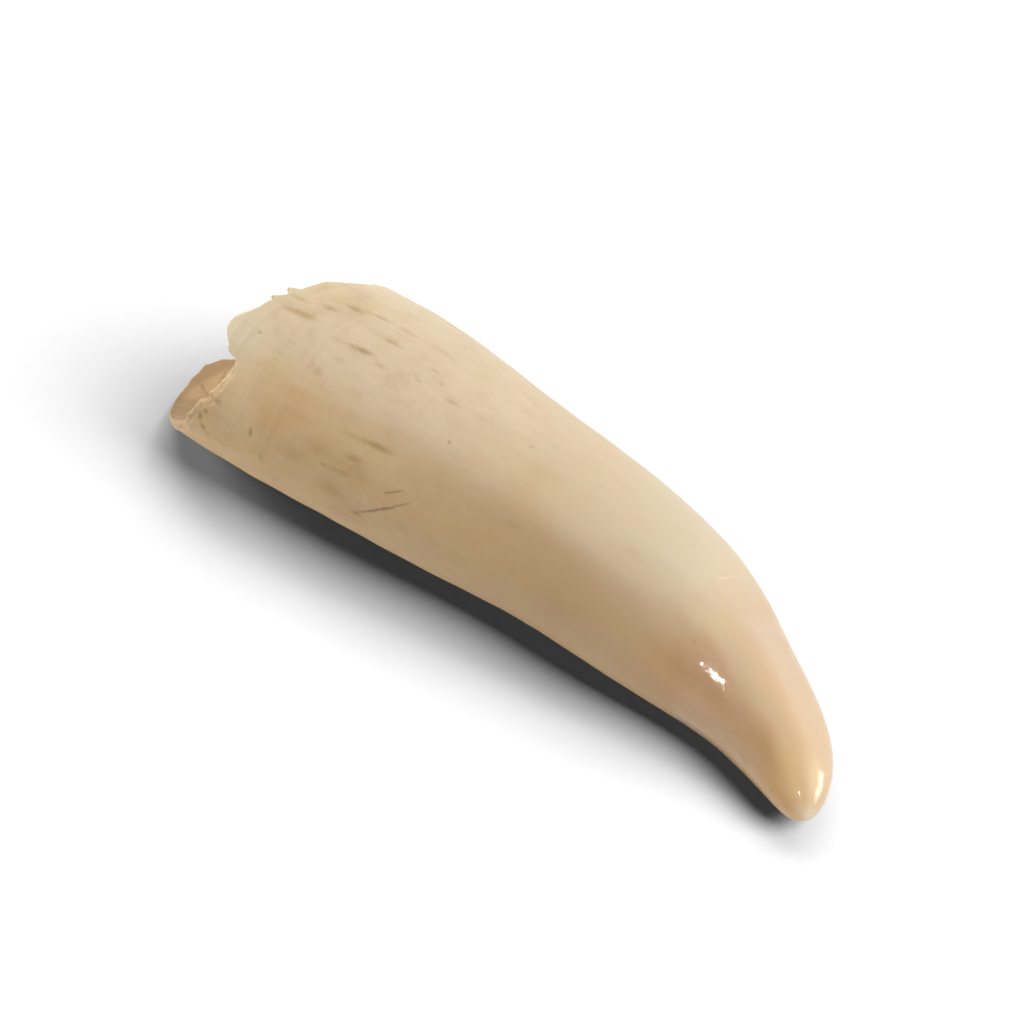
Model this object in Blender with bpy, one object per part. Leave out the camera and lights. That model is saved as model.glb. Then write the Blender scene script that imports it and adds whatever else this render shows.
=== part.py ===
"""Sperm whale tooth lying on its side: one solid, with an open pulp cavity in its broken root.

Run it with: blender --background --python part.py
The object is in metres, +Z up. +X points from the root to the tip, and Z = 0 is the
surface that the tooth lies on. The lists below are in millimetres and degrees. A station
is a distance along +X from the root's reference section. An angle goes round a section:
0 is the convex side of the bow (+Y), 90 the top, 180 the concave side, 270 the underside.
"""

import math

import bmesh
import bpy
import numpy as np

MM = 0.001

# Station of the tip
TIP = 150.0
# Station, half-width of the section there, and how far the centre line bows sideways
BODY = (
    (-15.0, 24.5, -9.6),
    (7.5, 25.0, -5.4),
    (30.0, 24.9, -0.2),
    (52.5, 23.1, 4.1),
    (75.0, 21.0, 8.7),
    (93.0, 19.6, 10.8),
    (108.0, 17.4, 11.7),
    (121.5, 13.7, 11.3),
    (133.5, 11.0, 9.4),
    (142.5, 10.1, 5.4),
    (TIP, 9.4, -0.1),
)
# Height over width of every section
FLATNESS = 0.86
# Station where the rounded tip begins
CAP_START = 130.5
# The top and underside stand this far out of a plain oval, and the two sides this far in
OVAL_SWELL = 0.35
# Broad low rings round the body: height, distance apart, and how far they lean
RING_HEIGHT, RING_PITCH, RING_LEAN = 0.12, 11.0, 2.5
# The underside is worn flat to this depth along the line that the tooth lies on
WORN_DEPTH = 0.4

# Worn facet on the tip: the way it faces, how far from the tip's middle, and how soft its edge is
FACET_FACES = (0.42, 0.55, 0.72)
FACET_MIDDLE_STATION = 139.0
FACET_DISTANCE = 8.0
FACET_EDGE = 0.5

# Broken edge of the root: angle, and how far the wall reaches past the reference section
BROKEN_EDGE = (
    (10, -18.0), (32, -19.0), (36, -16.0), (50, -14.0), (58, -11.5), (69, -8.0),
    (79, -6.3), (82, -4.4), (86, -5.0), (90, -3.5), (99, -2.0), (105, -0.3),
    (113, 0.0), (121, -0.5), (125, -2.8), (129, -4.0), (135, -3.8), (148, -2.2),
    (159, 0.2), (174, 2.6), (188, 4.4), (198, 7.2), (212, 11.5), (222, 14.2),
    (236, 17.0), (246, 18.6), (261, 20.1), (272, 20.4), (280, 18.3), (284, 15.9),
    (295, 11.0), (310, 4.0), (330, -5.0), (350, -13.0),
)
# Slope of the break: angle, and how far the wall's outer edge lies behind its inner edge
BREAK_SLOPE = (
    (60, 0.5), (121, 0.4), (131, 1.9), (150, 2.2), (188, 2.2), (210, 1.0), (300, 0.5),
)
# Thickness of the wall along the smoothed edge of the root
WALL = 1.4
# Half the arc over which the broken edge is smoothed to give the cavity's even mouth
MOUTH_SMOOTHING = 45.0
# Station of the deepest point of the pulp cavity, and how full the cone's sides are
CAVITY_END = 47.0
CAVITY_FULLNESS = 0.88

# Columns round the tooth, and rows from the tip over the edge to the cavity's deepest point
COLUMNS = 96
CAP_ROWS, EDGE_ROW, ROWS = 9, 32, 50
SMOOTH_UNDER = 50.0

IVORY = (0.66, 0.52, 0.35, 1.0)
IVORY_ROUGHNESS = 0.35


def natural_spline(places, values):
    """Smooth curve through the values, straight beyond both ends: a function giving value and slope."""
    places, values = np.array(places), np.array(values)
    gaps = np.diff(places)
    slopes = np.diff(values) / gaps
    system = np.eye(len(places))
    wanted = np.zeros(len(places))
    for i in range(1, len(places) - 1):
        system[i, i - 1 : i + 2] = gaps[i - 1], 2 * (gaps[i - 1] + gaps[i]), gaps[i]
        wanted[i] = 6 * (slopes[i] - slopes[i - 1])
    bends = np.linalg.solve(system, wanted)

    def at(place):
        i = int(np.clip(np.searchsorted(places, place) - 1, 0, len(gaps) - 1))
        inside = min(max(place, places[0]), places[-1])
        step = inside - places[i]
        start = slopes[i] - gaps[i] * (2 * bends[i] + bends[i + 1]) / 6
        change = (bends[i + 1] - bends[i]) / gaps[i]
        slope = start + bends[i] * step + change * step**2 / 2
        value = values[i] + start * step + bends[i] * step**2 / 2 + change * step**3 / 6
        return value + slope * (place - inside), slope

    return at


def round_the_tooth(points):
    """The values given at some angles as a function of any angle, straight between them."""
    angles, values = zip(*points)
    return lambda angle: float(np.interp(angle, angles, values, period=360.0))


half_width_at = natural_spline([s[0] for s in BODY], [s[1] for s in BODY])
bow_at = natural_spline([s[0] for s in BODY], [s[2] for s in BODY])
broken_edge = round_the_tooth(BROKEN_EDGE)
break_slope = round_the_tooth(BREAK_SLOPE)


def mouth(angle):
    """The broken edge without its teeth and notches: its mean over an arc."""
    around = np.linspace(-1.0, 1.0, 19)
    weights = 1.0 - around**2
    reaches = [broken_edge(angle + MOUTH_SMOOTHING * a) for a in around]
    return float(np.average(reaches, weights=weights))


def swell(station, angle):
    """How far the surface stands out of the plain oval section."""
    turn = math.radians(angle)
    oval = -OVAL_SWELL * math.cos(2 * turn)
    ring = math.sin(2 * math.pi * (station - RING_LEAN * math.cos(turn)) / RING_PITCH)
    toward_root = 1.0 - max(0.0, station) / TIP
    return oval + RING_HEIGHT * toward_root * ring


def body_point(station, angle, thickness=0.0):
    """Point at a station and angle, this far under the outer surface."""
    width = half_width_at(station)[0]
    bow, slope = bow_at(station)
    into_cap = min(max((station - CAP_START) / (TIP - CAP_START), 0.0), 1.0)
    narrowing = math.sqrt(1.0 - into_cap**2)
    radius = (width + swell(station, angle)) * narrowing - thickness
    sideways = radius * math.cos(math.radians(angle))
    upward = FLATNESS * radius * math.sin(math.radians(angle))
    length = math.hypot(1.0, slope)
    centre = np.array([station, bow, width * FLATNESS])
    return centre + (-slope / length * sideways, sideways / length, upward)


def wear_tip(point):
    """Softly flattens what stands out past the worn facet's plane."""
    faces = np.array(FACET_FACES) / np.linalg.norm(FACET_FACES)
    middle = body_point(FACET_MIDDLE_STATION, 0.0, half_width_at(FACET_MIDDLE_STATION)[0])
    over = float(faces @ (point - middle)) - FACET_DISTANCE
    return point - faces * FACET_EDGE * math.log1p(math.exp(min(over / FACET_EDGE, 30.0)))


def cavity_thickness(station, angle):
    """Wall thickness between the cavity and the outer surface."""
    start = -mouth(angle)
    depth = min(max((station - start) / (CAVITY_END - start), 0.0), 1.0)
    outer = half_width_at(station)[0] + swell(station, angle)
    return outer - (outer - WALL) * (1.0 - depth) ** CAVITY_FULLNESS


def tooth_point(row, angle):
    """Where a row and an angle of the sphere lie on the tooth."""
    inner_edge = -broken_edge(angle)
    outer_edge = inner_edge + break_slope(angle)
    if row <= CAP_ROWS:
        lean = math.pi / 2 * row / CAP_ROWS
        return wear_tip(body_point(CAP_START + (TIP - CAP_START) * math.cos(lean), angle))
    if row <= EDGE_ROW:
        along = (row - CAP_ROWS) / (EDGE_ROW - CAP_ROWS)
        return wear_tip(body_point(CAP_START + (outer_edge - CAP_START) * along, angle))
    along = (row - EDGE_ROW - 1) / (ROWS - EDGE_ROW - 1)
    station = inner_edge + (CAVITY_END - inner_edge) * along
    return body_point(station, angle, cavity_thickness(station, angle))


def shape_tooth(bm):
    """Draws a sphere out to the tip and pushes its other end in, like a cup."""
    bmesh.ops.create_uvsphere(bm, u_segments=COLUMNS, v_segments=ROWS, radius=1.0)
    for vert in bm.verts:
        row = round(math.acos(min(max(vert.co.z, -1.0), 1.0)) / math.pi * ROWS)
        angle = math.degrees(math.atan2(vert.co.y, vert.co.x))
        point = tooth_point(row, angle)
        point[2] = max(point[2] - WORN_DEPTH, 0.0)
        vert.co = point * MM
    bmesh.ops.triangulate(bm, faces=bm.faces)
    bmesh.ops.recalc_face_normals(bm, faces=bm.faces)


def centre_over_origin(bm):
    """Moves the middle of the tooth's length and width over the origin."""
    corners = np.array([vert.co for vert in bm.verts])
    middle = (corners.min(axis=0) + corners.max(axis=0)) / 2
    bmesh.ops.translate(bm, verts=bm.verts, vec=(-middle[0], -middle[1], 0.0))


def ivory():
    """Dentine and cement, polished by handling."""
    material = bpy.data.materials.new("ivory")
    material.use_nodes = True
    shader = material.node_tree.nodes["Principled BSDF"]
    shader.inputs["Base Color"].default_value = IVORY
    shader.inputs["Roughness"].default_value = IVORY_ROUGHNESS
    shader.inputs["Metallic"].default_value = 0.0
    material.diffuse_color = IVORY
    return material


def make_tooth(collection):
    bm = bmesh.new()
    shape_tooth(bm)
    centre_over_origin(bm)
    mesh = bpy.data.meshes.new("tooth")
    bm.to_mesh(mesh)
    bm.free()
    mesh.materials.append(ivory())
    mesh.shade_smooth()
    mesh.set_sharp_from_angle(angle=math.radians(SMOOTH_UNDER))
    tooth = bpy.data.objects.new("tooth", mesh)
    collection.objects.link(tooth)


def main():
    for obj in list(bpy.data.objects):
        bpy.data.objects.remove(obj, do_unlink=True)
    collection = bpy.data.collections.new("sperm_whale_tooth")
    bpy.context.scene.collection.children.link(collection)
    make_tooth(collection)


main()
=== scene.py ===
"""Looks of the sperm whale tooth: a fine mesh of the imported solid, its ivory, and soft studio light.

The tooth's lists are in millimetres and degrees. The camera, lights and floor are in metres.
A station is a distance along the tooth from the root's reference section. An angle goes round
a section: 0 is the outside of the bow (+Y), 90 the top, 180 the inside of the bow, 270 the
underside.
"""

import math

import bpy
import numpy as np
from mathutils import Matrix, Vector, noise


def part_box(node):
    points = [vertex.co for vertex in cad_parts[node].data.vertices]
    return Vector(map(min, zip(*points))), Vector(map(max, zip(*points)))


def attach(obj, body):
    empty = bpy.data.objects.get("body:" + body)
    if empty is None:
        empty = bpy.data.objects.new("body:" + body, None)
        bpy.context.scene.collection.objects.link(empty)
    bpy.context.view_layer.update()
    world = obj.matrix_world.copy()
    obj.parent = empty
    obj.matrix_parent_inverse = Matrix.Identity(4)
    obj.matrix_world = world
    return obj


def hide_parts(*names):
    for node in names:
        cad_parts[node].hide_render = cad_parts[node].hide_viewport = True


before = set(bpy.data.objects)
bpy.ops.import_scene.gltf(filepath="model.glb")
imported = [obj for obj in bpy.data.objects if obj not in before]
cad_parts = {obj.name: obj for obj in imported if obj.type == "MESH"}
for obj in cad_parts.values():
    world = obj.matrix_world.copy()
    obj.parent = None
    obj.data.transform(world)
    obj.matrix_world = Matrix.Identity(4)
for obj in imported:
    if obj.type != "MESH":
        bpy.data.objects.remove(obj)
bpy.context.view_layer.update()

MM = 0.001

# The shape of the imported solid, as its source gives it, with its wide rings made gentler

# Station of the tip
TIP = 150.0
# Station, half-width of the section there, and how far the centre line bows sideways
BODY = (
    (-15.0, 24.5, -9.6),
    (7.5, 25.0, -5.4),
    (30.0, 24.9, -0.2),
    (52.5, 23.1, 4.1),
    (75.0, 21.0, 8.7),
    (93.0, 19.6, 10.8),
    (108.0, 17.4, 11.7),
    (121.5, 13.7, 11.3),
    (133.5, 11.0, 9.4),
    (142.5, 10.1, 5.4),
    (TIP, 9.4, -0.1),
)
# Height over width of every section
FLATNESS = 0.86
# Station where the rounded tip begins
CAP_START = 130.5
# The top and underside stand this far out of a plain oval, and the two sides this far in
OVAL_SWELL = 0.35
# Broad low rings round the body: height, distance apart, and how far they lean
RING_HEIGHT, RING_PITCH, RING_LEAN = 0.05, 11.0, 2.5
# The underside is worn flat to this depth along the line that the tooth lies on
WORN_DEPTH = 0.4
# Worn facet on the tip: the way it faces, how far from the tip's middle, and how soft its edge is
FACET_FACES = (0.42, 0.55, 0.72)
FACET_MIDDLE_STATION = 139.0
FACET_DISTANCE = 8.0
FACET_EDGE = 0.5
# Broken edge of the root: angle, and how far the wall reaches past the reference section
BROKEN_EDGE = (
    (10, -18.0), (32, -19.0), (36, -16.0), (50, -14.0), (58, -11.5), (69, -8.0),
    (79, -6.3), (82, -4.4), (86, -5.0), (90, -3.5), (99, -2.0), (105, -0.3),
    (113, 0.0), (121, -0.5), (125, -2.8), (129, -4.0), (135, -3.8), (148, -2.2),
    (159, 0.2), (174, 2.6), (188, 4.4), (198, 7.2), (212, 11.5), (222, 14.2),
    (236, 17.0), (246, 18.6), (261, 20.1), (272, 20.4), (280, 18.3), (284, 15.9),
    (295, 11.0), (310, 4.0), (330, -5.0), (350, -13.0),
)
# Slope of the break: angle, and how far the wall's outer edge lies behind its inner edge
BREAK_SLOPE = (
    (60, 0.5), (121, 0.4), (131, 1.9), (150, 2.2), (188, 2.2), (210, 1.0), (300, 0.5),
)
# Thickness of the wall along the smoothed edge of the root
WALL = 1.4
# Half the arc over which the broken edge is smoothed to give the cavity's even mouth
MOUTH_SMOOTHING = 45.0
# Station of the deepest point of the pulp cavity, and how full the cone's sides are
CAVITY_END = 47.0
CAVITY_FULLNESS = 0.88

# The fine mesh

# Columns round the tooth, and rows of the tip, the body and the cavity
COLUMNS = 320
CAP_ROWS, BODY_ROWS, CAVITY_ROWS = 26, 212, 42
# The angle where columns lie closest, and how much closer than the mean
DENSE_ANGLE, DENSE_SHARE = 120.0, 0.5
# Row spacing far from the break over that beside it, on the body and in the cavity
BODY_STRETCH, CAVITY_STRETCH = 3.2, 5.0
# Rows across the broken wall: share of the way to its inner edge, and of the wall's thickness
BREAK_PROFILE = (
    (0.12, 0.03), (0.28, 0.08), (0.44, 0.15), (0.58, 0.24), (0.71, 0.35),
    (0.82, 0.49), (0.91, 0.66), (0.97, 0.84),
)
# Edges are shaded sharp above this many degrees
SHARP_ABOVE = 65.0
# Radius used for distances round the tooth in its patterns
GIRTH = 22.0

# Low relief of the outer surface

# Heights and sizes of the fine growth rings, the flutes and the gentle lumps
RING_RELIEF, FLUTE_RELIEF, LUMP_RELIEF = 0.035, 0.03, 0.03
RING_SIZE, FLUTE_SIZE, LUMP_SIZE = 2.0, 3.2, 9.0
# How much longer the rings are round the tooth, and the flutes and lumps along it
RING_WIDTH, FLUTE_STRETCH, LUMP_STRETCH = 8.0, 12.0, 2.0
# The rings and flutes fade over this distance from the root's edge, and all of it before the tip
RELIEF_RUN, TIP_FADE = 28.0, 14.0
# The rings straighten from the slant of the root's edge over this distance
RING_STRAIGHTENING = 45.0

# The broken rim

# Notches that split the rim at the top: angle of the step, its height, and how wide it runs out
RIM_STEPS = (
    (90.6, 0.9, 4.5),
    (83.0, 0.6, 3.0),
)
# Rounded lobes of the rim: angle, how far each reaches, and half its width
RIM_LOBES = (
    (112.0, 1.1, 7.5),
    (121.0, -0.4, 2.0),
    (124.8, 1.0, 2.2),
    (154.5, -1.0, 4.0),
)
# Angle, and how jagged the rim is there
RIM_ROUGHNESS = (
    (0, 1.0), (60, 0.6), (95, 0.2), (118, 0.2), (128, 0.6), (165, 0.6), (190, 0.5),
    (205, 0.2), (265, 0.2), (290, 1.0),
)
# Scallops and small teeth of a fully jagged rim: their sizes and heights, and the scallops' mean
SCALLOP_SIZE, SCALLOP_HEIGHT, SCALLOP_MEAN = 4.0, 0.8, 0.25
TEETH_SIZE, TEETH_HEIGHT = 1.1, 0.3
# How far the break's slope varies, the size of its changes, and the least slope that is left
SLOPE_RELIEF, SLOPE_RELIEF_SIZE, LEAST_SLOPE = 0.5, 1.8, 0.25
# Lumps on the broken wall: their height and size, and how far the wall stays under its outer edge
CRUMB_HEIGHT, CRUMB_SIZE, LEAST_CRUMB_DEPTH = 0.2, 1.7, 0.02
# Roughness of the cavity's wall: its height, its size, how much longer it is along the tooth, and
# the distance over which it fades to the deepest point
CAVITY_RELIEF, CAVITY_RELIEF_SIZE, CAVITY_RELIEF_STRETCH, CAVITY_FADE = 0.15, 2.5, 3.0, 12.0

# Marks on the surface

# Dark dashes along the tooth: station, angle, length, width, strength
DASHES = (
    (10.5, 92, 7.0, 1.5, 0.7), (8.0, 85, 5.0, 1.2, 0.5), (14.5, 82, 3.5, 1.2, 0.7),
    (18.5, 75, 3.3, 1.3, 0.8), (24.0, 72, 3.4, 1.0, 0.7), (29.5, 82, 4.5, 1.1, 0.7),
    (26.0, 94, 6.0, 1.2, 1.0), (31.0, 96, 3.0, 1.1, 0.5), (30.0, 71, 4.0, 1.3, 0.5),
    (38.0, 69, 5.0, 1.4, 0.4), (20.5, 95, 2.4, 0.8, 0.35), (13.0, 107, 2.6, 0.7, 0.35),
    (40.0, 82, 2.0, 0.9, 0.5), (39.0, 92, 1.6, 0.8, 0.5), (47.0, 91, 3.6, 1.0, 0.6),
    (40.0, 130, 6.2, 1.3, 1.0), (34.5, 132, 4.5, 1.3, 0.4), (21.0, 114, 2.4, 1.5, 0.45),
    (65.0, 86, 2.0, 1.0, 0.4), (71.0, 128, 4.6, 1.4, 0.3), (36.5, 142, 4.4, 1.7, 0.7),
    (34.0, 153, 5.6, 1.5, 0.5), (43.0, 86, 1.0, 0.8, 0.5), (37.8, 90, 1.4, 0.7, 0.35),
    (23.5, 104, 2.6, 1.5, 0.3), (40.6, 174, 3.0, 1.2, 0.5), (33.5, 166, 5.0, 2.2, 0.3),
)
# How far the dashes lean, and how deep the darkest are
DASH_LEAN = -5.0
DASH_DEPTH = 0.08
# Faint dashes scattered over the rest of the root: how many, and the ranges of their stations,
# angles, lengths, widths, strengths, and leans over DASH_LEAN. The power makes most of them faint
SCATTERED_DASHES = 70
SCATTER_STATIONS, SCATTER_ANGLES = (4.0, 78.0), (196.0, 412.0)
SCATTER_LENGTHS, SCATTER_WIDTHS = (1.5, 6.5), (0.5, 1.0)
SCATTER_STRENGTHS, SCATTER_LEANS = (0.15, 0.85), (-1.0, 2.5)
SCATTER_POWER = 1.5
# Pits and specks of dirt: station, angle, length, width, strength
SPECKS = (
    (6.0, 110, 0.8, 0.7, 0.9), (51.5, 109, 0.9, 0.8, 1.0), (114.2, 115, 1.1, 1.0, 0.45),
    (4.5, 151.5, 1.6, 1.2, 0.8), (2.5, 161, 0.9, 1.2, 1.0), (1.2, 166, 1.1, 2.2, 1.1),
    (2.0, 173, 1.4, 1.6, 1.1), (3.0, 177, 1.2, 1.2, 0.5), (12.8, 158, 0.9, 1.9, 1.1),
    (15.8, 172, 1.2, 3.4, 0.5), (30.2, 154, 1.0, 0.9, 0.6),
)
# Cracks: half-width, strength, then the stations and angles that the line passes
CRACKS = (
    (0.26, 0.8, (44.6, 151), (46.6, 147), (48.8, 142)),
    (0.28, 0.9, (38.8, 176), (43.2, 166), (47.2, 156), (51.0, 146)),
    (0.22, 0.45, (134.6, 157), (137.0, 162), (139.4, 170)),
    (0.18, 1.0, (-3.0, 90.4), (-1.0, 90.0), (1.0, 89.2)),
    (0.16, 1.0, (-5.0, 82.8), (-3.2, 82.4), (-1.6, 81.8)),
)
CRACK_DEPTH = 0.12
# Lines of dirt on the cavity's wall where it shows past the near wall, in the same form
DIRT_LINES = (
    (0.42, 0.6, (-17.8, 263.5), (-16.6, 258.5), (-14.6, 255.0), (-12.7, 250.5)),
    (0.30, 0.5, (-16.2, 252.5), (-15.0, 254.5), (-14.3, 256.0)),
    (0.40, 0.6, (-15.6, 277.0), (-14.6, 269.0), (-13.5, 261.0)),
    (0.40, 0.6, (-14.8, 223.0), (-13.6, 226.5)),
)
# Pale scratches, in the same form
SCRATCHES = (
    (0.24, 1.0, (108.3, 74), (108.9, 61), (109.2, 47)),
    (0.16, 0.6, (113.8, 93), (114.4, 84)),
)
# How far the cracks, the lines of dirt and the scratches waver, and the size of their bends
CRACK_WAVER, DIRT_WAVER, SCRATCH_WAVER = 0.25, 0.3, 0.04
WAVER_SIZE = 1.6
# The least that is left of a line's width and strength at its ends, as a square
LEAST_TAPER = 0.02
# In half-widths of a mark: where its strength ends, over how much it fades before that, where its
# colour ends, where a crack's groove ends, and where its coordinates stop growing
MARK_REACH, MARK_FADE, COLOUR_REACH, GROOVE_REACH, FAR = 2.0, 0.8, 1.7, 1.6, 9.0

# Colours, each as a screen shows it

# The root's furthest station, where the ramps along the tooth start
ROOT_END = -20.0
# Share of the way to the tip, and the ivory's colour there on the outside of the bow
PALE_SIDE = (
    (0.00, (207, 190, 160)),
    (0.35, (206, 188, 160)),
    (0.55, (203, 184, 154)),
    (0.70, (202, 187, 160)),
    (0.76, (201, 182, 154)),
    (0.84, (194, 165, 133)),
    (1.00, (202, 169, 124)),
)
# The same on the inside of the bow, which is the shaded flank: partly its own warmer colour, partly painted
# warm shade
WARM_SHADED_SIDE = (
    (0.00, (213, 178, 128)),
    (0.16, (213, 177, 128)),
    (0.40, (201, 169, 123)),
    (0.63, (192, 158, 113)),
    (0.70, (195, 163, 120)),
    (0.84, (195, 154, 106)),
    (1.00, (211, 164, 102)),
)
# Soft stains, two of them partly painted core shade along the flank: station, angle, reach along and
# across, strength, and colour
STAINS_AND_SHADE = (
    (2.0, 116, 9.0, 13.0, 0.7, (218, 206, 178)),
    (8.0, 140, 8.0, 8.0, 0.5, (224, 202, 170)),
    (21.0, 131, 15.0, 10.0, 0.28, (190, 146, 96)),
    (10.0, 156, 8.0, 8.0, 0.5, (222, 198, 160)),
    (37.0, 177, 11.0, 6.0, 0.3, (172, 118, 80)),
    (28.0, 147, 7.0, 3.5, 0.28, (160, 122, 86)),
    (36.5, 150, 6.0, 4.0, 0.3, (160, 122, 86)),
    (33.5, 165, 7.0, 4.0, 0.25, (164, 126, 90)),
    (14.5, 146, 3.0, 8.0, 0.15, (186, 140, 88)),
    (43.5, 138, 7.0, 4.0, 0.3, (206, 190, 150)),
    (23.0, 146, 5.0, 4.0, 0.35, (216, 190, 154)),
    (24.0, 158, 6.0, 3.0, 0.25, (170, 130, 90)),
    (9.0, 91, 9.0, 3.0, 0.3, (178, 154, 104)),
    (17.0, 72, 12.0, 9.0, 0.55, (184, 164, 126)),
    (4.0, 168, 6.0, 6.0, 0.2, (202, 178, 126)),
    (70.0, 101, 34.0, 7.0, 0.3, (184, 158, 114)),
    (50.0, 75, 20.0, 6.0, 0.25, (220, 204, 178)),
    (104.0, 82, 8.0, 14.0, 0.25, (200, 196, 172)),
    # Partly painted core shade along the flank, beside the polished tip
    (120.0, 127, 17.0, 11.0, 0.5, (168, 116, 70)),
    (122.0, 166, 14.0, 8.0, 0.3, (188, 134, 80)),
    # Partly painted core shade along the middle of the flank
    (110.0, 104, 30.0, 8.0, 0.35, (168, 136, 94)),
    (138.0, 122, 11.0, 9.0, 0.5, (178, 126, 62)),
    (145.0, 108, 9.0, 12.0, 0.4, (212, 170, 98)),
    (145.5, 148, 6.0, 10.0, 0.5, (212, 154, 68)),
    (145.5, 66, 6.0, 10.0, 0.45, (232, 212, 170)),
    (150.2, 60, 2.4, 50.0, 0.8, (230, 210, 180)),
)

# The studio

# The photo's camera: its aim, its place round and above the tooth, and its lens
CAMERA_AIM = (-0.0035, 0.0061, 0.0146)
CAMERA_AZIMUTH, CAMERA_HEIGHT = 46.65, 55.0
CAMERA_DISTANCE = 0.5852
CAMERA_LENS, CAMERA_SENSOR = 100.0, 36.0

FLOOR_SIZE, PAPER_GRAIN = 12.0, 0.004
# Distances from the tooth where the paper starts to glow and glows fully, and how strongly
GLOW_START, GLOW_FULL, GLOW_STRENGTH = 0.4, 2.4, 0.85

WHITE = (1.0, 1.0, 1.0, 1.0)
# Azimuth, elevation, distance, size and brightness of each light
SOFT_BOXES = {
    "low_box": (320.0, 7.0, 1.5, (0.6, 0.3), 0.32),
    "key_box": (112.0, 49.0, 1.5, (0.75, 1.0), 0.98),
    "back_strip": (205.0, 63.0, 1.5, (1.7, 0.6), 0.54),
    "root_box": (270.0, 7.0, 1.5, (0.5, 0.3), 0.92),
}
# The same, then the point that the light looks at, its roll and its colour
MIRRORED_LIGHTS = {
    "lamp": (40.5, 44.2, 0.9, (0.014, 0.12), 0.07, (0.05, 0.01, 0.02), -38.0, (1.0, 0.97, 0.86)),
    "side_box": (130.0, 8.0, 1.3, (1.0, 0.42), 0.52, (0.08, 0.0, 0.01), -14.0, WHITE[:3]),
}
SKY_STRENGTH = 0.85


def natural_spline(places, values):
    """Smooth curve through the values, straight beyond both ends: a function giving value and slope."""
    places, values = np.array(places), np.array(values)
    gaps = np.diff(places)
    slopes = np.diff(values) / gaps
    system = np.eye(len(places))
    wanted = np.zeros(len(places))
    for i in range(1, len(places) - 1):
        system[i, i - 1 : i + 2] = gaps[i - 1], 2 * (gaps[i - 1] + gaps[i]), gaps[i]
        wanted[i] = 6 * (slopes[i] - slopes[i - 1])
    bends = np.linalg.solve(system, wanted)

    def at(place):
        i = np.clip(np.searchsorted(places, place) - 1, 0, len(gaps) - 1)
        inside = np.clip(place, places[0], places[-1])
        step = inside - places[i]
        start = slopes[i] - gaps[i] * (2 * bends[i] + bends[i + 1]) / 6
        change = (bends[i + 1] - bends[i]) / gaps[i]
        slope = start + bends[i] * step + change * step**2 / 2
        value = values[i] + start * step + bends[i] * step**2 / 2 + change * step**3 / 6
        return value + slope * (place - inside), slope

    return at


def round_the_tooth(points):
    """The values given at some angles as a function of any angle, straight between them."""
    angles, values = zip(*points)
    return lambda angle: np.interp(angle, angles, values, period=360.0)


half_width_at = natural_spline([s[0] for s in BODY], [s[1] for s in BODY])
bow_at = natural_spline([s[0] for s in BODY], [s[2] for s in BODY])
broken_edge = round_the_tooth(BROKEN_EDGE)
break_slope = round_the_tooth(BREAK_SLOPE)
rim_roughness = round_the_tooth(RIM_ROUGHNESS)


def mouth(angle):
    """The broken edge without its teeth and notches: its mean over an arc."""
    around = np.linspace(-1.0, 1.0, 19)
    weights = 1.0 - around**2
    reaches = [broken_edge(angle + MOUTH_SMOOTHING * a) for a in around]
    return np.average(reaches, axis=0, weights=weights)


def swell(station, angle):
    """How far the surface stands out of the plain oval section."""
    turn = np.radians(angle)
    oval = -OVAL_SWELL * np.cos(2 * turn)
    ring = np.sin(2 * math.pi * (station - RING_LEAN * np.cos(turn)) / RING_PITCH)
    toward_root = 1.0 - np.maximum(0.0, station) / TIP
    return oval + RING_HEIGHT * toward_root * ring


def body_point(station, angle, thickness=0.0):
    """Points at stations and angles, this far under the plain outer surface."""
    width = half_width_at(station)[0]
    bow, slope = bow_at(station)
    into_cap = np.clip((station - CAP_START) / (TIP - CAP_START), 0.0, 1.0)
    narrowing = np.sqrt(1.0 - into_cap**2)
    radius = (width + swell(station, angle)) * narrowing - thickness
    sideways = radius * np.cos(np.radians(angle))
    upward = FLATNESS * radius * np.sin(np.radians(angle))
    length = np.hypot(1.0, slope)
    x = station - slope / length * sideways
    return np.stack([x, bow + sideways / length, width * FLATNESS + upward], axis=-1)


def wear_tip(points):
    """Softly flattens what stands out past the worn facet's plane."""
    faces = np.array(FACET_FACES) / np.linalg.norm(FACET_FACES)
    middle = body_point(FACET_MIDDLE_STATION, 0.0, half_width_at(FACET_MIDDLE_STATION)[0])
    over = ((points - middle) @ faces - FACET_DISTANCE) / FACET_EDGE
    return points - faces * FACET_EDGE * np.logaddexp(0.0, over)[..., None]


def cavity_thickness(station, angle):
    """Wall thickness between the cavity and the outer surface."""
    start = -mouth(angle)
    depth = np.clip((station - start) / (CAVITY_END - start), 0.0, 1.0)
    outer = half_width_at(station)[0] + swell(station, angle)
    return outer - (outer - WALL) * (1.0 - depth) ** CAVITY_FULLNESS


def fractal(places, size, octaves=3, seed=0.0):
    """Fractal noise, about -1 to 1, with features of this size."""
    shifted = (np.asarray(places) / size + seed).reshape(-1, 3)
    values = [noise.fractal(Vector(p), 1.0, 2.0, octaves) for p in shifted]
    return np.array(values).reshape(np.shape(places)[:-1])


def unrolled(along, angle, stretch=1.0):
    """Coordinates for noise that follow the surface without a seam, stretched along it."""
    turn = np.radians(angle) + 0.0 * along
    return np.stack([GIRTH * np.cos(turn), GIRTH * np.sin(turn), along / stretch + 0.0 * turn], axis=-1)


def column_angles():
    """Angles of the columns, closest together where the photo looks."""
    even = np.linspace(-90.0, 270.0, 2001)
    share = even + math.degrees(DENSE_SHARE) * np.sin(np.radians(even - DENSE_ANGLE))
    wanted = share[0] + (share[-1] - share[0]) * np.arange(COLUMNS) / COLUMNS
    return np.interp(wanted, share, even)


def shrinking_steps(count, stretch):
    """Places from just over 0 to 1 whose first step is this many times the last."""
    steps = np.linspace(stretch, 1.0, count)
    return np.cumsum(steps) / steps.sum()


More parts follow.
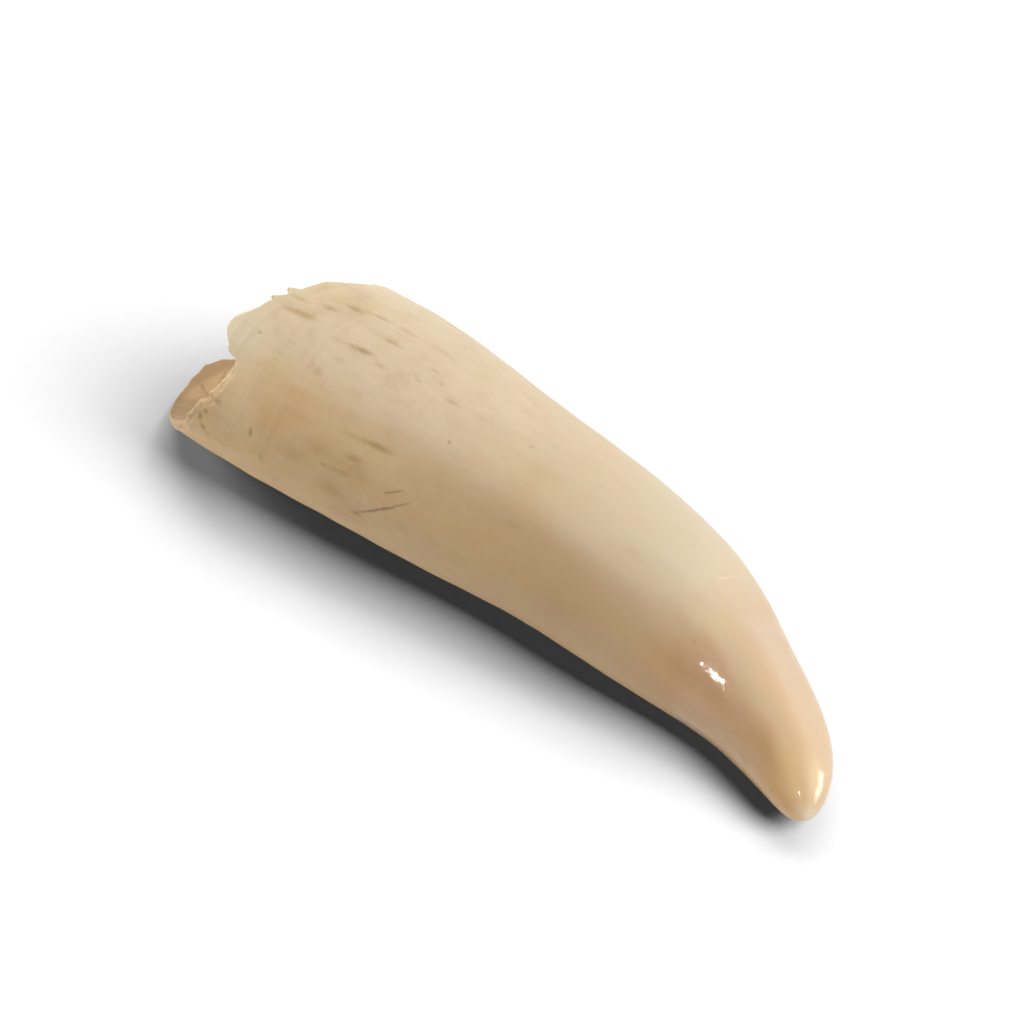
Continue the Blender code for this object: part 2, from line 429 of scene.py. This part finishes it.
def rim_reach(angle):
    """How far the wall reaches, with the rim's small teeth, scallops and split steps."""
    scallops = np.abs(fractal(unrolled(0.0, angle), SCALLOP_SIZE, 2, seed=3.1))
    teeth = fractal(unrolled(0.0, angle), TEETH_SIZE, 3, seed=7.7)
    jags = SCALLOP_HEIGHT * (scallops - SCALLOP_MEAN) + TEETH_HEIGHT * teeth
    reach = broken_edge(angle) + rim_roughness(angle) * jags
    for step_angle, height, run in RIM_STEPS:
        behind = (step_angle - angle) / run
        reach = reach + height * np.where(behind > 0.0, np.clip(1.0 - behind, 0.0, 1.0), 0.0)
    for middle, height, half in RIM_LOBES:
        reach = reach + height * np.clip(1.0 - ((angle - middle) / half) ** 2, 0.0, 1.0)
    return reach


def ring_place(station, angle):
    """Distance from the root's edge for the growth rings, which follow its slant and then straighten."""
    past = np.maximum(station + mouth(angle), 0.0)
    return station + mouth(angle) * np.exp(-past / RING_STRAIGHTENING)


def outer_relief(station, angle, rings):
    """Height of the growth rings, flutes and gentle lumps of the outer surface."""
    near_root = np.exp(-np.maximum(rings, 0.0) / RELIEF_RUN)
    ring = fractal(unrolled(rings * RING_WIDTH, angle) / RING_WIDTH, RING_SIZE, 2, seed=1.7)
    flute = fractal(unrolled(station, angle, FLUTE_STRETCH), FLUTE_SIZE, 2, seed=4.2)
    lump = fractal(unrolled(station, angle, LUMP_STRETCH), LUMP_SIZE, 2, seed=8.8)
    fade = np.clip((TIP - station) / TIP_FADE, 0.0, 1.0)
    return fade * (near_root * (RING_RELIEF * ring + FLUTE_RELIEF * flute) + LUMP_RELIEF * lump)


def cavity_relief(station, angle):
    """How far the cavity's rough wall lies under its smooth form."""
    stretched = unrolled(station, angle, CAVITY_RELIEF_STRETCH)
    rough = fractal(stretched, CAVITY_RELIEF_SIZE, 3, seed=9.4)
    fade = np.clip((CAVITY_END - station) / CAVITY_FADE, 0.0, 1.0)
    return CAVITY_RELIEF * fade * rough


def arc_place(angle, station):
    """Distance round the section at a station, along its own curve."""
    fine, step = np.linspace(-180.0, 540.0, 1441, retstep=True)
    pace = np.hypot(np.sin(np.radians(fine)), FLATNESS * np.cos(np.radians(fine))) * math.radians(step)
    return half_width_at(station)[0] * np.interp(angle, fine, np.cumsum(pace))


def all_dashes():
    """The dashes and specks seen in the photo, and faint ones scattered over the other sides."""
    seen = [(*dash, DASH_LEAN) for dash in DASHES]
    seen += [(*speck, 0.0) for speck in SPECKS]
    chance = np.random.default_rng(5)
    for _ in range(SCATTERED_DASHES):
        place = chance.uniform(*SCATTER_STATIONS), chance.uniform(*SCATTER_ANGLES)
        size = chance.uniform(*SCATTER_LENGTHS), chance.uniform(*SCATTER_WIDTHS)
        lean = DASH_LEAN * chance.uniform(*SCATTER_LEANS)
        strength = chance.uniform(*SCATTER_STRENGTHS) ** SCATTER_POWER
        seen.append((*place, *size, strength, lean))
    return seen


def fading(distance):
    """1 beside a mark, falling to 0 at its reach, so that nothing shows where the nearest mark changes."""
    return np.clip((MARK_REACH - distance) / MARK_FADE, 0.0, 1.0)


def dash_field(station, angle):
    """Place along and across the nearest dash, 1 at its end and its side, and its strength."""
    nearest = np.full(station.shape + (3,), FAR)
    nearest[..., 2] = 0.0
    closest = np.full(station.shape, FAR)
    for at, turn, length, width, strength, lean in all_dashes():
        along = station - at
        off = (angle - turn + 180.0) % 360.0 - 180.0
        across = arc_place(turn % 360.0 + off, at) - arc_place(turn % 360.0, at)
        cos, sin = math.cos(math.radians(lean)), math.sin(math.radians(lean))
        u = (along * cos + across * sin) / (length / 2)
        v = (across * cos - along * sin) / (width / 2)
        distance = np.hypot(u, v)
        hit = distance < closest
        closest = np.where(hit, distance, closest)
        nearest[hit] = np.stack([u, v, strength * fading(distance)], -1)[hit]
    return nearest


def line_field(lines, station, angle, waver):
    """Signed distance from the nearest line in half-widths, and how strong the line is there."""
    wobble = waver * fractal(unrolled(station, angle), WAVER_SIZE, 2, seed=2.2)
    nearest = np.full(station.shape, FAR)
    strength = np.zeros(station.shape)
    for half_width, line_strength, *places in lines:
        middle = np.mean(places, axis=0)
        corners = [(s, arc_place(a, middle[0])) for s, a in places]
        here = np.stack([station + wobble, arc_place(angle % 360.0, middle[0]) + wobble], -1)
        for i, (start, end) in enumerate(zip(corners, corners[1:])):
            start, end = np.array(start), np.array(end)
            way = end - start
            share = np.clip((here - start) @ way / (way @ way), 0.0, 1.0)
            off = here - start - share[..., None] * way
            side = np.sign(way[0] * off[..., 1] - way[1] * off[..., 0])
            whole = (i + share) / (len(corners) - 1)
            taper = np.sqrt(np.clip(4.0 * whole * (1.0 - whole), LEAST_TAPER, 1.0))
            signed = side * np.hypot(off[..., 0], off[..., 1]) / (half_width * taper)
            hit = np.abs(signed) < np.abs(nearest)
            nearest = np.where(hit, signed, nearest)
            strength = np.where(hit, line_strength * taper * fading(np.abs(signed)), strength)
    return np.stack([nearest, strength, 0.0 * nearest], -1)


def surface_marks(station, angle, inside):
    """The marks near each point. In the cavity, lines of dirt take the place of the cracks."""
    cracks = line_field(CRACKS, station, angle, CRACK_WAVER)
    cracks[inside] = line_field(DIRT_LINES, station[inside], angle[inside], DIRT_WAVER)
    scratches = line_field(SCRATCHES, station, angle, SCRATCH_WAVER)
    return {"dash": dash_field(station, angle), "crack": cracks, "scratch": scratches}


def groove_depth(dashes, cracks):
    """How deep the dashes and cracks lie in the surface."""
    groove = dashes[..., 2] * np.clip(1.0 - np.hypot(dashes[..., 0], dashes[..., 1]), 0.0, 1.0)
    slit = cracks[..., 1] * np.clip(1.0 - np.abs(cracks[..., 0]) / GROOVE_REACH, 0.0, 1.0)
    return DASH_DEPTH * groove + CRACK_DEPTH * slit


def surface_rows():
    """Stations and angles of each row, from the tip over the break into the cavity."""
    angle = column_angles()
    inner_edge = -rim_reach(angle)
    unevenness = SLOPE_RELIEF * fractal(unrolled(0.0, angle), SLOPE_RELIEF_SIZE, 3, seed=5.5)
    outer_edge = inner_edge + np.maximum(break_slope(angle) + unevenness, LEAST_SLOPE)
    rows = []
    for i in range(1, CAP_ROWS + 1):
        lean = math.pi / 2 * i / CAP_ROWS
        rows.append(np.full(COLUMNS, CAP_START + (TIP - CAP_START) * math.cos(lean)))
    for along in shrinking_steps(BODY_ROWS, BODY_STRETCH):
        rows.append(CAP_START + (outer_edge - CAP_START) * along)
    for share, _ in BREAK_PROFILE:
        rows.append(outer_edge + (inner_edge - outer_edge) * share)
    for along in 1.0 - shrinking_steps(CAVITY_ROWS, CAVITY_STRETCH)[::-1]:
        rows.append(inner_edge + (CAVITY_END - inner_edge) * along)
    return np.array(rows), np.broadcast_to(angle, (len(rows), COLUMNS))


def surface_grid():
    """Points of all rows and columns, and what each one's patterns need."""
    station, angle = surface_rows()
    body_end = CAP_ROWS + BODY_ROWS
    cavity_start = body_end + len(BREAK_PROFILE)
    outside, inside = slice(0, body_end), slice(cavity_start, None)
    rings = ring_place(station, angle)
    marks = surface_marks(station, angle, inside)

    thickness, broken, inner = (np.zeros(station.shape) for _ in range(3))
    relief = outer_relief(station[outside], angle[outside], rings[outside])
    thickness[outside] = groove_depth(marks["dash"][outside], marks["crack"][outside]) - relief
    wall = cavity_thickness(station[inside], angle[inside])
    thickness[inside] = wall + cavity_relief(station[inside], angle[inside])
    first, last = thickness[body_end - 1], thickness[cavity_start]
    for row, (share, depth) in enumerate(BREAK_PROFILE, body_end):
        crumbs = fractal(unrolled(station[row], angle[row]), CRUMB_SIZE, 3, seed=12.3)
        level = first + (last - first) * depth - CRUMB_HEIGHT * crumbs * math.sin(math.pi * share)
        thickness[row] = np.maximum(level, first + LEAST_CRUMB_DEPTH)
        broken[row] = share
    inner[inside] = 1.0

    points = body_point(station, angle, thickness)
    points[outside] = wear_tip(points[outside])
    region = np.stack([broken, inner, rings / TIP], -1)
    return points, station, angle, region, marks


def close_grid(rows, columns):
    """Corner numbers of the faces that join the rows, the tip and the cavity's deepest point."""
    index = np.arange(rows * columns).reshape(rows, columns)
    after = np.roll(index, -1, axis=1)
    quads = np.stack([index[:-1], index[1:], after[1:], after[:-1]], -1).reshape(-1, 4)
    tip, deepest = rows * columns, rows * columns + 1
    faces = quads.tolist()
    faces += [(tip, int(a), int(b)) for a, b in zip(index[0], after[0])]
    faces += [(deepest, int(b), int(a)) for a, b in zip(index[-1], after[-1])]
    return faces


def add_vectors(mesh, name, grid, tip, deepest):
    """Stores a vector for each point of the mesh, which ends with the tip and the deepest point."""
    values = np.concatenate([np.reshape(grid, (-1, 3)), [tip, deepest]])
    attribute = mesh.attributes.new(name, "FLOAT_VECTOR", "POINT")
    attribute.data.foreach_set("vector", values.astype(np.float32).ravel())


def make_surface():
    """The tooth's fine surface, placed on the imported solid."""
    points, station, angle, region, marks = surface_grid()
    tip = wear_tip(body_point(TIP, 0.0))
    deepest = body_point(CAVITY_END, 0.0, cavity_thickness(CAVITY_END, 0.0))
    corners = np.concatenate([points.reshape(-1, 3), [tip, deepest]])
    corners[:, 2] = np.maximum(corners[:, 2] - WORN_DEPTH, 0.0)
    low, high = (np.array(corner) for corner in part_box("tooth"))
    shift = (low + high) / 2 - (corners.min(axis=0) + corners.max(axis=0)) / 2 * MM
    shift[2] = low[2]
    mesh = bpy.data.meshes.new("tooth_surface")
    mesh.from_pydata((corners * MM + shift).tolist(), [], close_grid(*station.shape))
    add_vectors(mesh, "follow", unrolled(station, angle), (0, 0, TIP), (0, 0, CAVITY_END))
    add_vectors(mesh, "region", region, (0, 0, 1), (0, 1, CAVITY_END / TIP))
    for name, field in marks.items():
        add_vectors(mesh, name, np.clip(field, -FAR, FAR), (FAR, FAR, 0), (FAR, FAR, 0))
    mesh.shade_smooth()
    mesh.set_sharp_from_angle(angle=math.radians(SHARP_ABOVE))
    surface = bpy.data.objects.new("tooth_surface", mesh)
    bpy.context.scene.collection.objects.link(surface)
    return surface


def shown(red, green, blue):
    """A colour as a screen shows it, 0 to 255, turned into light."""
    shares = [value / 255.0 for value in (red, green, blue)]
    lit = [s / 12.92 if s <= 0.04045 else ((s + 0.055) / 1.055) ** 2.4 for s in shares]
    return (*lit, 1.0)


class Nodes:
    """Adds nodes to one material. Each call returns the output that the next one takes."""

    def __init__(self, material):
        material.use_nodes = True
        self.tree = material.node_tree
        self.shader = self.tree.nodes["Principled BSDF"]

    def put(self, socket, value):
        if isinstance(value, bpy.types.NodeSocket):
            self.tree.links.new(value, socket)
        else:
            socket.default_value = value

    def shade(self, name, value):
        """Gives one socket of the shader its value."""
        self.put(self.shader.inputs[name], value)

    def vector(self, name):
        node = self.tree.nodes.new("ShaderNodeAttribute")
        node.attribute_name = name
        return node.outputs["Vector"]

    def parts(self, vector):
        node = self.tree.nodes.new("ShaderNodeSeparateXYZ")
        self.put(node.inputs[0], vector)
        return node.outputs

    def number(self, operation, first, second=0.0, clamp=False):
        node = self.tree.nodes.new("ShaderNodeMath")
        node.operation = operation
        node.use_clamp = clamp
        self.put(node.inputs[0], first)
        self.put(node.inputs[1], second)
        return node.outputs[0]

    def times(self, first, second):
        return self.number("MULTIPLY", first, second)

    def plus(self, first, second):
        return self.number("ADD", first, second)

    def vectors(self, operation, first, second=(0.0, 0.0, 0.0)):
        node = self.tree.nodes.new("ShaderNodeVectorMath")
        node.operation = operation
        self.put(node.inputs[0], first)
        self.put(node.inputs[1], second)
        return node.outputs

    def stretched(self, vector, scale):
        return self.vectors("MULTIPLY", vector, scale)["Vector"]

    def length(self, vector):
        return self.vectors("LENGTH", vector)["Value"]

    def noise(self, place, size, detail=3.0, roughness=0.5, along=1.0):
        """Noise, 0 to 1, with features of this size, this many times longer along the tooth."""
        node = self.tree.nodes.new("ShaderNodeTexNoise")
        self.put(node.inputs["Vector"], self.stretched(place, (1.0, 1.0, 1.0 / along)))
        self.put(node.inputs["Scale"], 1.0 / size)
        self.put(node.inputs["Detail"], detail)
        self.put(node.inputs["Roughness"], roughness)
        return node.outputs["Fac"]

    def line_noise(self, place, detail=2.0):
        """Noise, 0 to 1, that changes along one coordinate only."""
        node = self.tree.nodes.new("ShaderNodeTexNoise")
        node.noise_dimensions = "1D"
        self.put(node.inputs["W"], place)
        self.put(node.inputs["Scale"], 1.0)
        self.put(node.inputs["Detail"], detail)
        return node.outputs["Fac"]

    def between(self, value, low, high, out_low=0.0, out_high=1.0):
        """Goes smoothly from one output to the other while the value goes from low to high."""
        node = self.tree.nodes.new("ShaderNodeMapRange")
        node.interpolation_type = "SMOOTHSTEP"
        sockets = ("Value", "From Min", "From Max", "To Min", "To Max")
        for name, number in zip(sockets, (value, low, high, out_low, out_high)):
            self.put(node.inputs[name], number)
        return node.outputs["Result"]

    def hump(self, value, middle, reach):
        """A soft hump that is 1 at the middle and 0 this far away."""
        away = self.number("ABSOLUTE", self.number("SUBTRACT", value, middle))
        return self.between(away, reach, 0.0)

    def spot(self, place, station, angle, along, across):
        """A soft spot at a station and an angle that is 1 at its middle and 0 at its reaches."""
        turn = math.radians(angle)
        middle = (GIRTH * math.cos(turn), GIRTH * math.sin(turn), station)
        off = self.vectors("SUBTRACT", place, middle)["Vector"]
        away = self.length(self.stretched(off, (1.0 / across, 1.0 / across, 1.0 / along)))
        return self.between(away, 1.0, 0.0)

    def ramp(self, value, stops):
        """A colour that follows the value through the stops, each a place and a colour."""
        node = self.tree.nodes.new("ShaderNodeValToRGB")
        self.put(node.inputs[0], value)
        elements = node.color_ramp.elements
        while len(elements) < len(stops):
            elements.new(0.5)
        for element, (place, tint) in zip(elements, stops):
            element.position = place
            element.color = shown(*tint)
        return node.outputs["Color"]

    def mix(self, share, first, second):
        """Colour mix."""
        node = self.tree.nodes.new("ShaderNodeMix")
        node.data_type = "RGBA"
        self.put(node.inputs["Factor"], share)
        self.put(node.inputs[6], first)
        self.put(node.inputs[7], second)
        return node.outputs[2]

    def mix_numbers(self, share, first, second):
        node = self.tree.nodes.new("ShaderNodeMix")
        self.put(node.inputs["Factor"], share)
        self.put(node.inputs[2], first)
        self.put(node.inputs[3], second)
        return node.outputs[0]

    def bump(self, height, strength, distance, under=None):
        """Relief this many metres high, on top of another if one is given."""
        node = self.tree.nodes.new("ShaderNodeBump")
        self.put(node.inputs["Strength"], strength)
        self.put(node.inputs["Distance"], distance)
        self.put(node.inputs["Height"], height)
        if under is not None:
            self.put(node.inputs["Normal"], under)
        return node.outputs["Normal"]


class IvoryNodes(Nodes):
    """The ivory's nodes, with the places, patterns and marks that its parts share."""

    def __init__(self, material):
        super().__init__(material)
        self.follow = self.vector("follow")
        self.across_x, self.across_y, self.station = self.parts(self.follow)
        self.broken, self.inner, ring_share = self.parts(self.vector("region"))
        self.rings = self.times(ring_share, TIP)
        self.polished = self.between(self.station, 60.0, 116.0)

        self.cloud = self.noise(self.follow, 16.0, 3.0, 0.55, 1.6)
        # Blotches would narrow to points where all angles meet, so they level out at the tip
        blotch = self.noise(self.follow, 5.5, 4.0, 0.55, 1.5)
        self.blotch = self.mix_numbers(self.between(self.station, 138.0, 149.0), blotch, 0.5)
        self.streak = self.noise(self.follow, 1.7, 3.0, 0.6, 14.0)
        self.hair = self.noise(self.follow, 0.55, 2.0, 0.6, 22.0)
        self.warped = self.plus(self.station, self.times(self.plus(self.cloud, -0.5), 16.0))
        self.dash = self.dash_mark()

    def dash_mark(self):
        """How strong the nearest dash is here, with a ragged edge."""
        along, across, strength = self.parts(self.vector("dash"))
        squares = self.plus(self.times(along, along), self.times(across, across))
        fine = self.noise(self.follow, 0.8, 3.0, 0.6)
        out = self.plus(self.number("SQRT", squares), self.times(self.plus(fine, -0.5), 1.2))
        return self.times(self.between(out, COLOUR_REACH, 0.0), strength)

    def line_mark(self, name):
        """How strong the nearest line of this kind is here."""
        off, strength, _ = self.parts(self.vector(name))
        return self.times(self.between(self.number("ABSOLUTE", off), COLOUR_REACH, 0.0), strength)


def plain_ivory(n):
    """Cream on the outside of the bow and warmer on its inside, changing along the tooth. The warmer inside
    is partly the ivory's own colour and partly painted warm shade on the shaded flank.
    """
    along = n.number("DIVIDE", n.plus(n.warped, -ROOT_END), TIP - ROOT_END, clamp=True)
    pale_side = n.ramp(along, PALE_SIDE)
    # Partly painted warm shade: the inside of the bow is the shaded flank
    warm_shaded_side = n.ramp(along, WARM_SHADED_SIDE)
    low_side = n.between(n.plus(n.across_x, n.times(n.plus(n.cloud, -0.5), 10.0)), -5.0, -20.0)
    return n.mix(low_side, pale_side, warm_shaded_side)


def blotched(n, colour):
    """Pink and olive blotches, and a smaller mottle that ends before the polished tip."""
    colour = n.mix(n.between(n.blotch, 0.42, 0.72, 0.0, 0.3), colour, shown(200, 166, 134))
    colour = n.mix(n.between(n.blotch, 0.55, 0.28, 0.0, 0.3), colour, shown(196, 176, 130))
    mottle = n.noise(n.follow, 2.8, 3.0, 0.6, 1.7)
    mottle = n.mix_numbers(n.between(n.station, 45.0, 95.0), mottle, 0.5)
    colour = n.mix(n.between(mottle, 0.5, 0.75, 0.0, 0.24), colour, shown(170, 138, 96))
    return n.mix(n.between(mottle, 0.5, 0.25, 0.0, 0.2), colour, shown(216, 202, 170))


def shaded_flank(n, colour):
    """Painted core shade, partly the ivory's own brown: the flank above the shadow, browner from the root's
    end to the tip.
    """
    flank = n.times(n.hump(n.across_x, -13.0, 8.5), n.between(n.across_y, -2.0, 8.0))
    flank = n.times(flank, n.times(n.between(n.warped, 10.0, 70.0), n.between(n.station, 149.0, 136.0)))
    return n.mix(n.times(flank, 0.5), colour, shown(160, 130, 96))


def stained_and_shaded(n, colour):
    """Soft stains, two of them partly painted core shade, broken up by the blotches."""
    patchy = n.between(n.blotch, 0.3, 0.7, 0.5, 1.3)
    for at, turn, reach_along, reach_across, strength, tint in STAINS_AND_SHADE:
        spot = n.times(n.spot(n.follow, at, turn, reach_along, reach_across), patchy)
        colour = n.mix(n.times(spot, strength), colour, shown(*tint))
    return colour


def ringed(n, colour):
    """Brown growth rings that fade away from the root's edge."""
    ring_lines = n.line_noise(n.plus(n.number("DIVIDE", n.rings, 2.4), n.noise(n.follow, 14.0, 2.0)))
    ring_mark = n.times(n.between(ring_lines, 0.42, 0.7), n.between(n.rings, 46.0, 2.0, 0.0, 0.22))
    ring_mark = n.times(ring_mark, n.between(n.blotch, 0.35, 0.6))
    return n.mix(ring_mark, colour, shown(170, 142, 102))


def streaked(n, colour):
    """Fine dark streaks and pale hairs along the tooth, faint on the tip."""
    rough_end = n.between(n.station, 110.0, 60.0, 0.15, 1.0)
    streaks = n.times(n.between(n.streak, 0.35, 0.75, 0.0, 0.09), rough_end)
    colour = n.mix(streaks, colour, shown(166, 138, 98))
    hairs = n.times(n.between(n.hair, 0.5, 0.85, 0.0, 0.05), rough_end)
    return n.mix(hairs, colour, shown(216, 196, 166))


def marked(n, colour):
    """Olive dirt in the dashes and specks, and pale scratches."""
    colour = n.mix(n.times(n.dash, 0.55), colour, shown(140, 110, 62))
    return n.mix(n.times(n.line_mark("scratch"), 0.35), colour, shown(234, 222, 202))


def broken_open(n, colour):
    """The crumbly break and the brown wall of the cavity."""
    crumb = n.noise(n.follow, 1.1, 3.0, 0.6)
    fresh = n.mix(n.between(crumb, 0.35, 0.65), shown(186, 164, 126), shown(168, 142, 102))
    inside = n.mix(n.between(n.blotch, 0.3, 0.7), shown(201, 166, 125), shown(189, 155, 113))
    inside = n.mix(n.between(n.streak, 0.5, 0.75, 0.0, 0.25), inside, shown(160, 130, 86))
    # Dirt darkens the low end of the break, and the side of the cavity beside it is darker
    fresh = n.mix(n.between(n.across_y, 14.0, 4.0, 0.0, 0.6), fresh, shown(136, 108, 76))
    inside = n.mix(n.between(n.across_x, -2.0, -15.0, 0.0, 0.6), inside, shown(140, 114, 82))
    colour = n.mix(n.between(n.broken, 0.05, 0.6, 0.0, 0.75), colour, fresh)
    return n.mix(n.inner, colour, inside)


def cracked(n, colour):
    """Dark cracks, and lines of dirt in the cavity."""
    return n.mix(n.times(n.line_mark("crack"), 0.75), colour, shown(114, 86, 48))


def set_gloss(n):
    """Satin at the root, smoother towards the tip, clear polish on the tip, and a matt break."""
    patch = n.noise(n.follow, 3.0, 3.0, 0.6)
    rough_root = n.plus(n.times(patch, 0.2), 0.42)
    rough_tip = n.plus(n.times(patch, 0.1), 0.3)
    roughness = n.plus(n.mix_numbers(n.polished, rough_root, rough_tip), n.times(n.dash, 0.2))
    rough_break = n.times(n.number("MAXIMUM", n.inner, n.broken), 0.62)
    n.shade("Roughness", n.number("MAXIMUM", roughness, rough_break))
    n.shade("IOR", 1.54)
    n.shade("Specular IOR Level", 0.35)
    n.shade("Coat Weight", n.between(n.station, 115.0, 120.0))
    n.shade("Coat Roughness", 0.03)


def set_glow(n):
    """Light passes a little way through the ivory, red the furthest."""
    n.shade("Subsurface Weight", 0.2)
    n.shade("Subsurface Radius", (1.0, 0.6, 0.35))
    n.shade("Subsurface Scale", 0.0022)


def set_grain(n):
    """Fine grain under everything, nearly worn away on the tip, and a weak ripple in the polish."""
    grain = n.noise(n.follow, 0.4, 3.0, 0.6, 2.5)
    height = n.plus(n.times(grain, 0.6), n.times(n.hair, 0.4))
    worn = n.between(n.polished, 0.0, 1.0, 1.0, 0.08)
    grained = n.bump(n.times(height, worn), 0.5, 0.06 * MM)
    n.shade("Normal", grained)
    n.shade("Coat Normal", n.bump(n.noise(n.follow, 1.3, 2.0, 0.5), 1.0, 0.03 * MM, grained))


def ivory():
    """Cream ivory with olive and brown stains, partly painted shade on its flank, growth bands, dirt in its
    dashes and a polished tip.
    """
    material = bpy.data.materials.new("ivory_surface")
    n = IvoryNodes(material)
    colour = plain_ivory(n)
    for layer in (blotched, shaded_flank, stained_and_shaded, ringed, streaked, marked, broken_open, cracked):
        colour = layer(n, colour)
    n.shade("Base Color", colour)
    set_gloss(n)
    set_glow(n)
    set_grain(n)
    return material


def dress_tooth():
    """The fine surface with its ivory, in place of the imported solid."""
    surface = make_surface()
    surface.data.materials.append(ivory())
    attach(surface, "root")
    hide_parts("tooth")
    return surface


def paper():
    """Matt white paper with a faint grain, glowing with painted light far from the tooth."""
    material = bpy.data.materials.new("paper")
    n = Nodes(material)
    place = n.tree.nodes.new("ShaderNodeTexCoord").outputs["Object"]
    speck = n.noise(place, PAPER_GRAIN)
    n.shade("Base Color", n.mix(speck, (0.93, 0.93, 0.93, 1.0), (0.96, 0.96, 0.96, 1.0)))
    n.shade("Roughness", n.plus(n.times(speck, 0.1), 0.75))
    n.shade("Specular IOR Level", 0.0)
    # Painted light: far from the tooth, where the soft boxes no longer reach, the paper glows so that it
    # stays pale
    n.shade("Emission Color", WHITE)
    n.shade("Emission Strength", n.between(n.length(place), GLOW_START, GLOW_FULL, 0.0, GLOW_STRENGTH))
    return material


def lay_floor():
    bpy.ops.mesh.primitive_plane_add(size=FLOOR_SIZE)
    floor = bpy.context.object
    floor.name = "floor"
    floor.data.materials.append(paper())


def toward(azimuth, elevation, distance, middle=(0.0, 0.0, 0.0)):
    """The point this far from the middle, at an azimuth from -Y towards +X and an elevation."""
    turn, rise = math.radians(azimuth), math.radians(elevation)
    way = Vector((math.sin(turn) * math.cos(rise), -math.cos(turn) * math.cos(rise), math.sin(rise)))
    return Vector(middle) + way * distance


def add_light(name, azimuth, elevation, distance, size, brightness, middle=(0.0, 0.0, 0.0)):
    """A soft rectangular light that looks at the middle. Brightness 1 makes white paper facing it white."""
    light = bpy.data.lights.new(name, "AREA")
    light.shape = "RECTANGLE"
    light.size, light.size_y = size
    light.energy = brightness * (math.pi * distance) ** 2
    lamp = bpy.data.objects.new(name, light)
    lamp.location = toward(azimuth, elevation, distance, middle)
    lamp.rotation_euler = (lamp.location - Vector(middle)).to_track_quat("Z", "Y").to_euler()
    bpy.context.scene.collection.objects.link(lamp)
    return lamp


def light_scene(surface):
    """Soft boxes give the light and are not mirrored. Two more are only mirrored, in the polished tip."""
    soft_boxes = {name: add_light(name, *values) for name, values in SOFT_BOXES.items()}
    for box in soft_boxes.values():
        box.visible_glossy = False
    mirrored = []
    for name, (*values, roll, colour) in MIRRORED_LIGHTS.items():
        light = add_light(name, *values)
        light.rotation_euler.rotate_axis("Z", math.radians(roll))
        light.data.color = colour
        light.visible_diffuse = False
        mirrored.append(light)
    # The low box only fills the tooth's shaded flank, and the tooth throws no colour on its shadow
    tooth_alone = bpy.data.collections.new("tooth_alone")
    tooth_alone.objects.link(surface)
    for box in (soft_boxes["low_box"], *mirrored):
        box.light_linking.receiver_collection = tooth_alone
    surface.visible_diffuse = False


def make_sky():
    """A white sky that is seen and mirrored, but gives no soft light."""
    world = bpy.data.worlds.new("studio")
    bpy.context.scene.world = world
    world.use_nodes = True
    background = world.node_tree.nodes["Background"]
    background.inputs["Color"].default_value = WHITE
    background.inputs["Strength"].default_value = SKY_STRENGTH
    world.cycles_visibility.diffuse = False


def place_camera():
    lens = bpy.data.cameras.new("camera")
    lens.lens, lens.sensor_width = CAMERA_LENS, CAMERA_SENSOR
    camera = bpy.data.objects.new("camera", lens)
    camera.location = toward(CAMERA_AZIMUTH, CAMERA_HEIGHT, CAMERA_DISTANCE, CAMERA_AIM)
    camera.rotation_euler = (camera.location - Vector(CAMERA_AIM)).to_track_quat("Z", "Y").to_euler()
    bpy.context.scene.collection.objects.link(camera)
    bpy.context.scene.camera = camera


tooth_surface = dress_tooth()
lay_floor()
light_scene(tooth_surface)
make_sky()
place_camera()
bpy.context.scene.view_settings.view_transform = "Standard"
